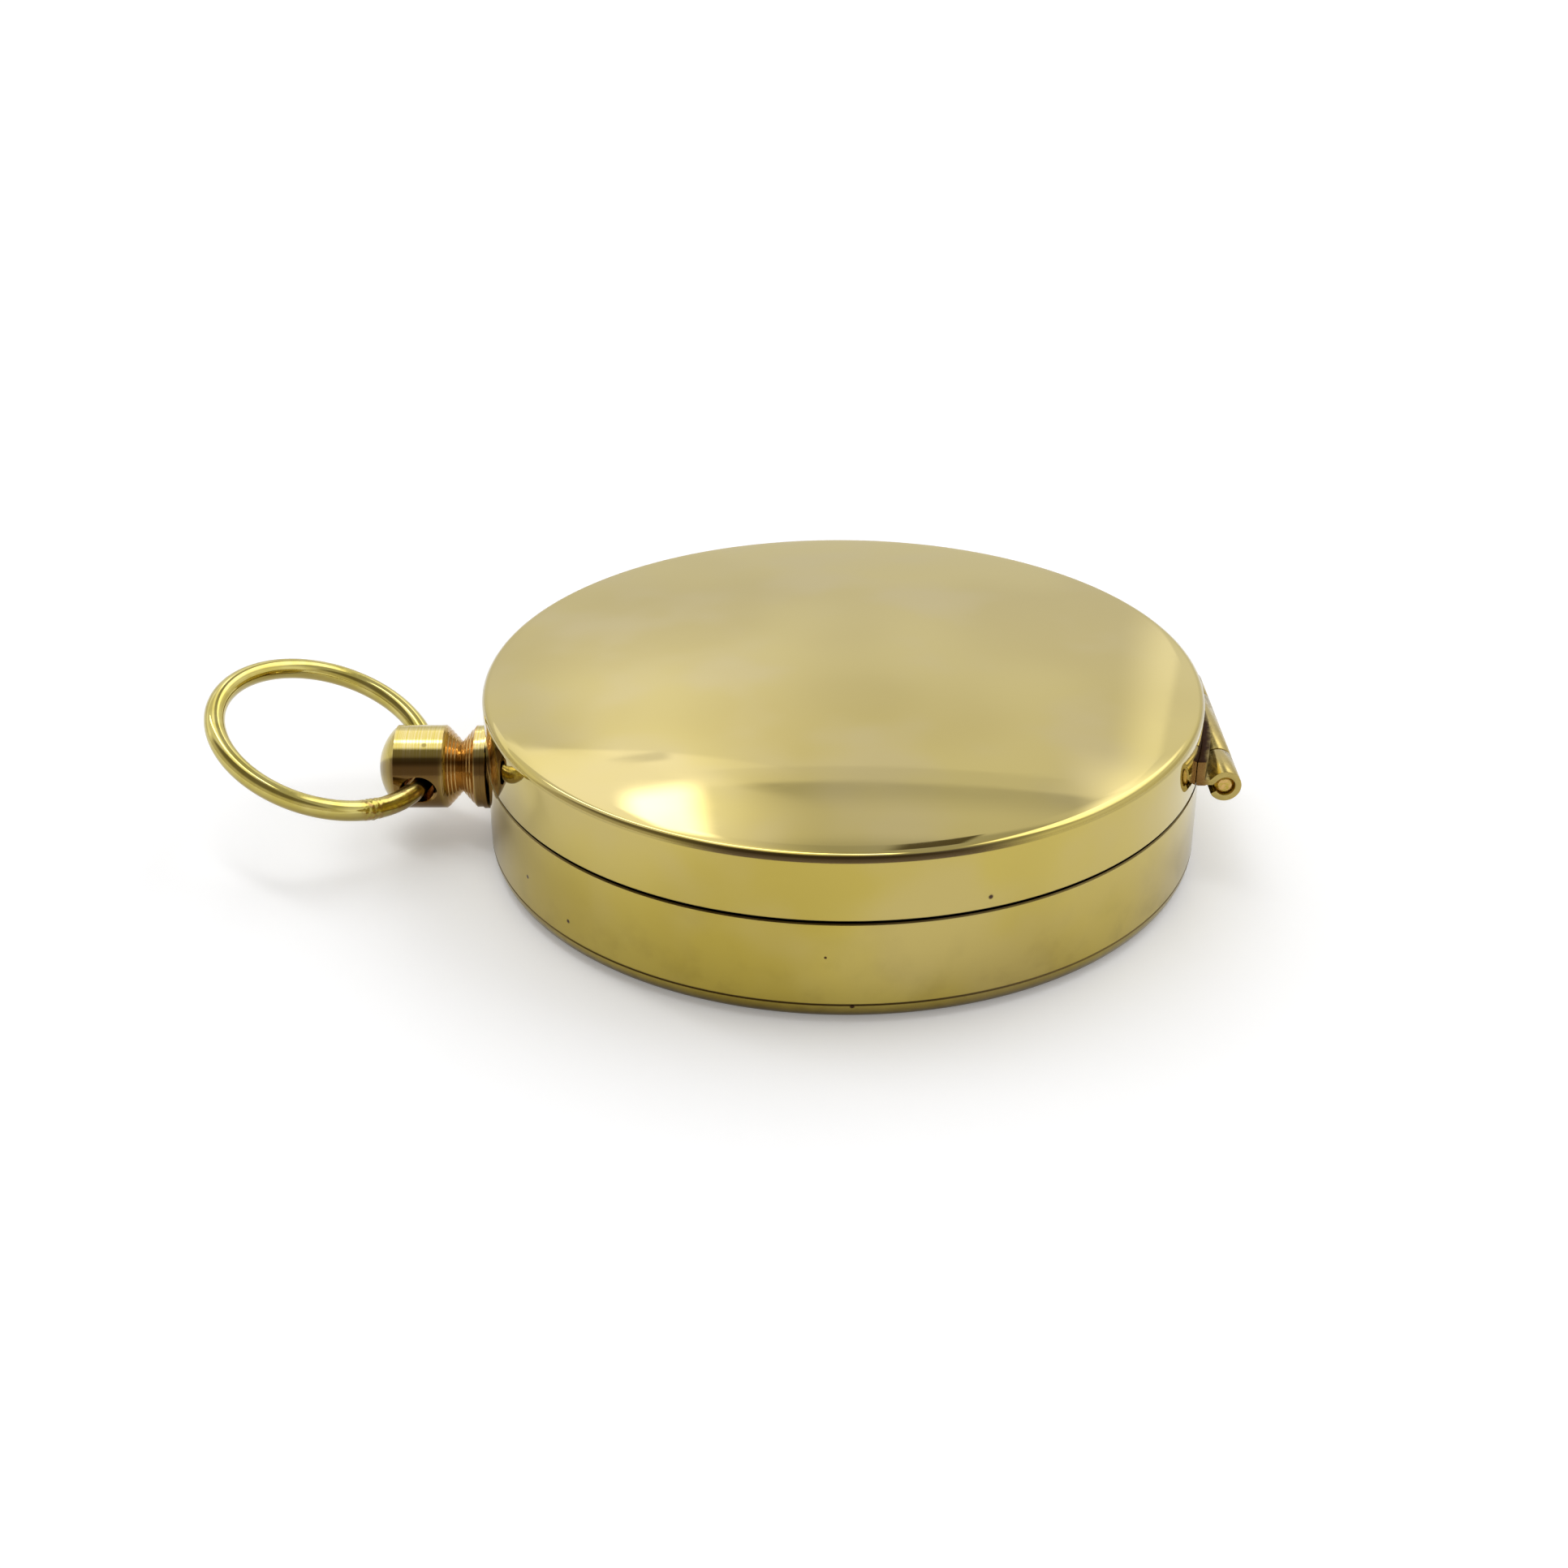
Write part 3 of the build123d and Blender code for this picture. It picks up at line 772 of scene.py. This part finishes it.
def make_ring():
    """Bow ring: bent round wire with the bumps of its brazed joint close to the stem."""
    joint_turn, joint_half, dull_turn = 235.0, 8.0, 214.0
    bump_height = 0.06 * mm
    lump_waves = ((1.5, 3), (2.3, -4), (3.1, 5))
    around, section = 480, 36
    reach = (ring_centre - hole_centre).normalized()
    side = hole_axis.normalized()
    normal = reach.cross(side)
    form = bmesh.new()
    rings = []
    for k in range(around):
        turn = 360.0 * k / around
        angle = radians(turn)
        outward = reach * cos(angle) + side * sin(angle)
        near = max(0.0, 1 - abs(turn - joint_turn) / joint_half)
        swell = near * near * (3 - 2 * near)
        ring = []
        for j in range(section):
            roll = 2 * pi * j / section
            lumps = sum(sin(along * turn + about * roll) for along, about in lump_waves)
            radius = ring_wire / 2 + bump_height * swell * (0.4 + 0.3 * lumps)
            spoke = outward * cos(roll) + normal * sin(roll)
            ring.append(form.verts.new(ring_centre + outward * ring_radius + spoke * radius))
        rings.append(ring)
    for low, high in zip(rings, rings[1:] + rings[:1]):
        for j in range(section):
            after = (j + 1) % section
            form.faces.new((low[j], low[after], high[after], high[j]))
    piece = solid("ring_wire", form, wire_sharp)
    points = []
    for turn in (joint_turn, dull_turn):
        angle = radians(turn)
        points.append(ring_centre + (reach * cos(angle) + side * sin(angle)) * ring_radius)
    return dress(piece, "bow_ring", "case_brass", [wire_brass("ring_brass", *points)], "bow_ring")


def softened(node, body, slot, material, width):
    """A copy of a node's mesh with its sharp edges broken, which stands for the node."""
    flat_angle, bevel_angle = 0.4, 32.0
    form = bmesh.new()
    form.from_mesh(nodes[node].data)
    bmesh.ops.remove_doubles(form, verts=form.verts, dist=weld_distance)
    bmesh.ops.dissolve_limit(form, angle_limit=radians(flat_angle), verts=form.verts, edges=form.edges)
    piece = solid(node + "_soft", form)
    bevel = piece.modifiers.new("edges", "BEVEL")
    bevel.width = width
    bevel.segments = 2
    bevel.limit_method = "ANGLE"
    bevel.angle_limit = radians(bevel_angle)
    applied(piece)
    smoothed(piece.data, softened_sharp)
    return dress(piece, body, slot, [material], node)


def paint(node, material):
    """Gives a node that stays its own material."""
    nodes[node].data.materials.clear()
    nodes[node].data.materials.append(material)


# Dial print, sizes of the card and of what is printed on it
card_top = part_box("dial_card")[1].z
ink_thickness = 0.012 * mm
scale_outer = 20.3 * mm
tick_lengths = {30: 1.9 * mm, 10: 1.5 * mm, 2: 0.8 * mm}
tick_widths = {30: 0.26 * mm, 10: 0.18 * mm, 2: 0.09 * mm}
number_radius = 17.0 * mm
number_size = 2.1 * mm
letter_radius = 13.2 * mm
letter_size = 3.6 * mm
letters = ((0, "N"), (90, "E"), (180, "S"), (270, "W"))
rose_circles = (
    (20.45 * mm, 0.12 * mm),
    (15.6 * mm, 0.1 * mm),
    (11.0 * mm, 0.1 * mm),
    (4.6 * mm, 0.12 * mm),
)
rose_line = 0.1 * mm
rose_points = ((4, 10.6 * mm, 2.5 * mm, 0), (4, 7.6 * mm, 2.1 * mm, 45))
stud_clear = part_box("pivot_stud")[1].x + 0.1 * mm


def bearing(turn, radius):
    """A point on the card at a bearing, north towards the stem and east at +Y."""
    angle = radians(180 - turn)
    return Vector((radius * cos(angle), radius * sin(angle), 0))


def slab(form, corners):
    """A thin printed patch with straight sides, raised off the card."""
    low = [form.verts.new((c.x, c.y, card_top)) for c in corners]
    high = [form.verts.new((c.x, c.y, card_top + ink_thickness)) for c in corners]
    form.faces.new(low)
    form.faces.new(high)
    for k in range(len(corners)):
        after = (k + 1) % len(corners)
        form.faces.new((low[k], low[after], high[after], high[k]))


def line(form, start, end, width):
    """A printed line between two points."""
    across = Vector((start.y - end.y, end.x - start.x, 0)).normalized() * width / 2
    slab(form, (start + across, start - across, end - across, end + across))


def circle(form, radius, width, steps=180):
    """A printed circle."""
    inner, outer = radius - width / 2, radius + width / 2
    low, high = card_top, card_top + ink_thickness
    turns = [2 * pi * k / steps for k in range(steps)]
    loops = []
    for size, height in ((inner, low), (outer, low), (outer, high), (inner, high)):
        loops.append([form.verts.new((size * cos(a), size * sin(a), height)) for a in turns])
    for first, second in zip(loops, loops[1:] + loops[:1]):
        for k in range(steps):
            after = (k + 1) % steps
            form.faces.new((first[k], first[after], second[after], second[k]))


def lettering(form, text, size, turn, radius):
    """Text on the card, upright towards the rim at a bearing."""
    curve = bpy.data.curves.new("lettering", "FONT")
    curve.body = text
    curve.size = size
    curve.align_x = "CENTER"
    curve.align_y = "CENTER"
    curve.extrude = ink_thickness / 2
    writing = bpy.data.objects.new("lettering", curve)
    scene.collection.objects.link(writing)
    mesh = bpy.data.meshes.new_from_object(writing.evaluated_get(bpy.context.evaluated_depsgraph_get()))
    place = Matrix.Translation(bearing(turn, radius) + Vector((0, 0, card_top + ink_thickness / 2)))
    mesh.transform(place @ Matrix.Rotation(radians(90 - turn), 4, "Z"))
    form.from_mesh(mesh)
    bpy.data.objects.remove(writing)
    bpy.data.meshes.remove(mesh)


def make_print():
    """Degree scale, numbers, compass letters and an eight-pointed rose on the card."""
    black, red = bmesh.new(), bmesh.new()
    for turn in range(0, 360, 2):
        kind = next(step for step in tick_lengths if turn % step == 0)
        end = scale_outer - tick_lengths[kind]
        line(black, bearing(turn, scale_outer), bearing(turn, end), tick_widths[kind])
    for turn in range(0, 360, 30):
        lettering(black, str(turn), number_size, turn, number_radius)
    for turn, text in letters:
        lettering(red if text == "N" else black, text, letter_size, turn, letter_radius)
    for radius, width in rose_circles:
        circle(black, radius, width)
    for count, reach, waist, offset in rose_points:
        for k in range(count):
            turn = offset + 360 / count * k
            tip = bearing(turn, reach)
            foot = bearing(turn, stud_clear)
            for side, filled in ((45, True), (-45, False)):
                corner = bearing(turn + side, waist)
                if filled:
                    slab(red if offset else black, (tip, corner, foot))
                else:
                    line(black, tip, corner, rose_line)
                    line(black, tip, foot, rose_line)
    for form, name, colour in ((black, "dial_print_black", black_ink), (red, "dial_print_red", red_ink)):
        piece = solid(name, form)
        dress(piece, "base", "dial_paper", [printed_ink(name + "_ink", colour)])


# What brings the lit floor to white where it is seen, and what it adds in the metal and glass
floor_lift = 0.19
mirrored_lift = 0.07
floor_half = 2.5

# Brightness of the studio's parts, 1 for white, and the tones of those that aren't grey
wall_level = 0.95
glow_level = 0.34
wedge_level = 0.3
bracket_depth = 0.45
cornice_depth = 0.1
ceiling_levels = (0.66, 0.84)
ceiling_front = 0.56
ceiling_left = 0.95
ceiling_right = 0.85
left_window = 1.5
right_window = 2.4
wall_lamp = 4.0
tube_lamp = 5.5
low_wall_tint = (0.88, 0.86, 0.76, 1)
arm_tone = (0.14, 0.12, 0.09, 1)
horizon_tone = (0.66, 0.63, 0.58, 1)
dark_tone = (0.22, 0.195, 0.15, 1)
daylight = (0.99, 1.0, 1.03)

# The photograph's camera: elevation in degrees, roll in radians, lens and sensor in millimetres
camera_place = (-4.100 * mm, -138.191 * mm, 78.762 * mm)
camera_elevation = 28.624
camera_roll = -0.0048154
camera_lens = 50.434
camera_sensor = 36
camera_near = 1 * mm


def grey(level):
    """A grey tone."""
    return (level, level, level, 1)


def seen_lift(tree):
    """The floor's lift for the camera and for reflections, and 0 for the light on other things."""
    path = tree.add("LightPath")
    mirrored = tree.math("MAXIMUM", path["Is Glossy Ray"], path["Is Transmission Ray"])
    direct = tree.math("MULTIPLY", path["Is Camera Ray"], floor_lift)
    return tree.math("MAXIMUM", direct, tree.math("MULTIPLY", mirrored, mirrored_lift))


def make_floor():
    """A wide pale sheet just under the case."""
    form = bmesh.new()
    bmesh.ops.create_grid(form, x_segments=8, y_segments=8, size=floor_half)
    bmesh.ops.translate(form, verts=form.verts, vec=(0, 0, -press_gap))
    sheet = solid("floor", form)
    finish = Finish("floor_sheet", {"Roughness": 0.9, "Specular IOR Level": 0.1})
    grain = finish.noise(finish.place, 40, 2)
    finish.set({
        "Base Color": finish.mix(grain, grey(0.90), grey(0.92)),
        "Emission Color": grey(1.0),
        "Emission Strength": seen_lift(finish),
    })
    sheet.data.materials.append(finish.material)


class Sky(Tree):
    """The world's nodes, and the places by which they tell its parts apart.

    azimuth and elevation are in degrees, from straight behind the object and from the horizon.
    across and along are places on a level ceiling, one unit above the object.
    """

    lowest_rise = 0.1

    def __init__(self, world):
        super().__init__(world.node_tree)
        direction = self.add("SeparateXYZ", {0: self.add("TexCoord")["Generated"]})
        self.right = direction["X"]
        self.back = direction["Y"]
        self.elevation = self.math("MULTIPLY", self.math("ARCSINE", direction["Z"]), 180 / pi)
        self.azimuth = self.math("MULTIPLY", self.math("ARCTAN2", self.right, self.back), 180 / pi)
        rise = self.math("MAXIMUM", direction["Z"], self.lowest_rise)
        self.across = self.math("DIVIDE", self.right, rise)
        self.along = self.math("DIVIDE", self.back, rise)

    def skewed(self, value, other, share):
        """A value with a share of another one added."""
        return self.math("ADD", value, self.math("MULTIPLY", other, share))

    def panel(self, *limits):
        """A mask with soft straight edges: each limit is (value, outside, inside)."""
        mask = 1.0
        for value, outside, inside in limits:
            mask = self.math("MULTIPLY", self.ramp(value, outside, inside), mask)
        return mask


def back_wall(sky):
    """The wall behind the object: the windows' glow, a bright wedge with a bracket's shadow, a cornice."""
    azimuth, elevation = sky.azimuth, sky.elevation
    left_glow = sky.panel((azimuth, -13.5, -9), (azimuth, 4, -8), (elevation, 16, 33))
    bending = sky.skewed(azimuth, elevation, -0.122)
    right_glow = sky.panel((bending, 10.6, 12.9), (elevation, 14, 20))
    right_glow = sky.math("MULTIPLY", right_glow, sky.ramp(bending, 13.0, 13.5, 1, 0.3))
    glow = sky.math("MULTIPLY", sky.math("MAXIMUM", left_glow, right_glow), glow_level)
    leaning = sky.skewed(elevation, azimuth, -0.36)
    wedge = sky.panel((leaning, 35.7, 36.05), (azimuth, 1, -9))
    bracket = sky.panel(
        (azimuth, -10.4, -9.8),
        (azimuth, -6.6, -7.4),
        (elevation, 33.0, 33.3),
        (elevation, 34.1, 33.7),
    )
    shadow = sky.math("MULTIPLY", bracket, bracket_depth)
    wedge = sky.math("MULTIPLY", wedge, sky.math("SUBTRACT", wedge_level, shadow))
    level = sky.math("ADD", sky.math("ADD", glow, wedge), wall_level)
    cornice = sky.panel((sky.along, 1.415, 1.405), (azimuth, -7, -4), (azimuth, 14, 12))
    level = sky.math("SUBTRACT", level, sky.math("MULTIPLY", cornice, cornice_depth))
    low_wall = sky.panel((sky.back, 0.0, 0.5), (elevation, 26, 12))
    return sky.vector("MULTIPLY", level, sky.mix(low_wall, grey(1.0), low_wall_tint))[0]


def add_ceiling(sky, level):
    """A dim ceiling, brighter on both sides, with a dark arm in front of it."""
    across, along = sky.across, sky.along
    rear = sky.ramp(along, 1.33, 1.22, *ceiling_levels)
    middle = sky.mix(sky.ramp(along, 1.17, 1.10), rear, grey(ceiling_front))
    middle = sky.mix(sky.ramp(across, -0.2, -0.6), middle, grey(ceiling_left))
    middle = sky.mix(sky.ramp(across, 0.8, 1.3), middle, grey(ceiling_right))
    ceiling = sky.panel((along, 1.355, 1.335), (across, -1.9, -1.5), (across, 1.9, 1.5))
    falling = sky.skewed(sky.elevation, sky.azimuth, 0.3)
    arm = sky.panel(
        (sky.azimuth, 4.2, 6.0),
        (sky.azimuth, 10.2, 9.4),
        (falling, 43.0, 43.4),
        (sky.elevation, 47, 45),
    )
    return sky.mix(arm, sky.mix(ceiling, level, middle), arm_tone)


def add_lights(sky, level):
    """Two windows in the ceiling, a lamp on the wall, and a tube from the back left to above the object."""
    across, along = sky.across, sky.along
    azimuth, elevation = sky.azimuth, sky.elevation
    slant = sky.skewed(sky.math("MULTIPLY", across, 0.674), along, 0.739)
    lean = sky.skewed(along, across, 0.8)
    left = sky.panel((across, 0.03, -0.17), (across, -0.5, -0.34), (along, -0.45, -0.2), (slant, 0.96, 0.92))
    right = sky.panel((across, 0.32, 0.42), (across, 1.5, 0.7), (along, -0.15, 0.12), (along, 1.6, 1.15))
    lamp = sky.panel(
        (azimuth, -10.6, -8.8),
        (azimuth, -5.0, -7.2),
        (elevation, 35.4, 37.2),
        (elevation, 43, 41),
    )
    tube = sky.panel((lean, -0.03, 0.0), (lean, 0.16, 0.13), (across, -0.9, -0.8), (across, 0.2, 0.1))
    lights = ((left, left_window), (right, right_window), (lamp, wall_lamp), (tube, tube_lamp))
    for light, brightness in lights:
        level = sky.mix(light, level, grey(brightness))
    return level


def add_dark_side(sky, level):
    """A dark side at the front and left, less so near the horizon."""
    forward = sky.skewed(sky.math("MULTIPLY", sky.right, -0.5), sky.back, -0.87)
    tone = sky.mix(sky.ramp(sky.elevation, 20, 38), horizon_tone, dark_tone)
    return sky.mix(sky.panel((forward, 0.18, 0.34), (sky.elevation, 0, 4)), level, tone)


def make_world():
    """A pale studio: a wall behind the object, lights above it, a dark side at the front and left."""
    world = bpy.data.worlds.new("studio")
    world.use_nodes = True
    scene.world = world
    sky = Sky(world)
    level = back_wall(sky)
    for add_part in (add_ceiling, add_lights, add_dark_side):
        level = add_part(sky, level)
    tint = sky.vector("MULTIPLY", level, daylight)[0]
    seen = sky.mix(sky.add("LightPath")["Is Camera Ray"], tint, grey(1.0))
    sky.feed(world.node_tree.nodes["Background"].inputs["Color"], seen)


def make_camera():
    """The photograph's camera."""
    data = bpy.data.cameras.new("camera")
    data.sensor_width = camera_sensor
    data.lens = camera_lens
    data.clip_start = camera_near
    camera = bpy.data.objects.new("camera", data)
    scene.collection.objects.link(camera)
    pitch = Matrix.Rotation(pi / 2 - radians(camera_elevation), 4, "X")
    roll = Matrix.Rotation(camera_roll, 4, "Z")
    camera.matrix_world = Matrix.Translation(camera_place) @ pitch @ roll
    scene.camera = camera


make_lid()
make_band()
make_plate()
make_stem()
make_ring()
hinge_material = hinge_brass("hinge_brass")
softened("lid_hinge_leaf", "lid", "case_brass", hinge_material, leaf_break)
softened("base_hinge_leaf", "base", "case_brass", hinge_material, leaf_break)
softened("hinge_pin", "lid", "case_brass", pin_brass("pin_brass"), pin_break)
make_print()

inner_brass = satin_brass("inner_brass")
turned_parts = ("bezel_sleeve", "spring_ring", "spacer_ring", "pivot_stud", "dial_plate")
needle_parts = ("needle_cap", "needle_weight")
for node in turned_parts + needle_parts:
    paint(node, inner_brass)
paint("dial_card", printed_paper("dial_paper"))
paint("glass", clear_glass("window_glass"))
paint("pivot_pin", ground_steel("pivot_steel"))
paint("needle", needle_finish("needle_lacquer"))
paint("needle_jewel", ruby("jewel"))

make_floor()
make_world()
make_camera()
scene.view_settings.view_transform = "Standard"
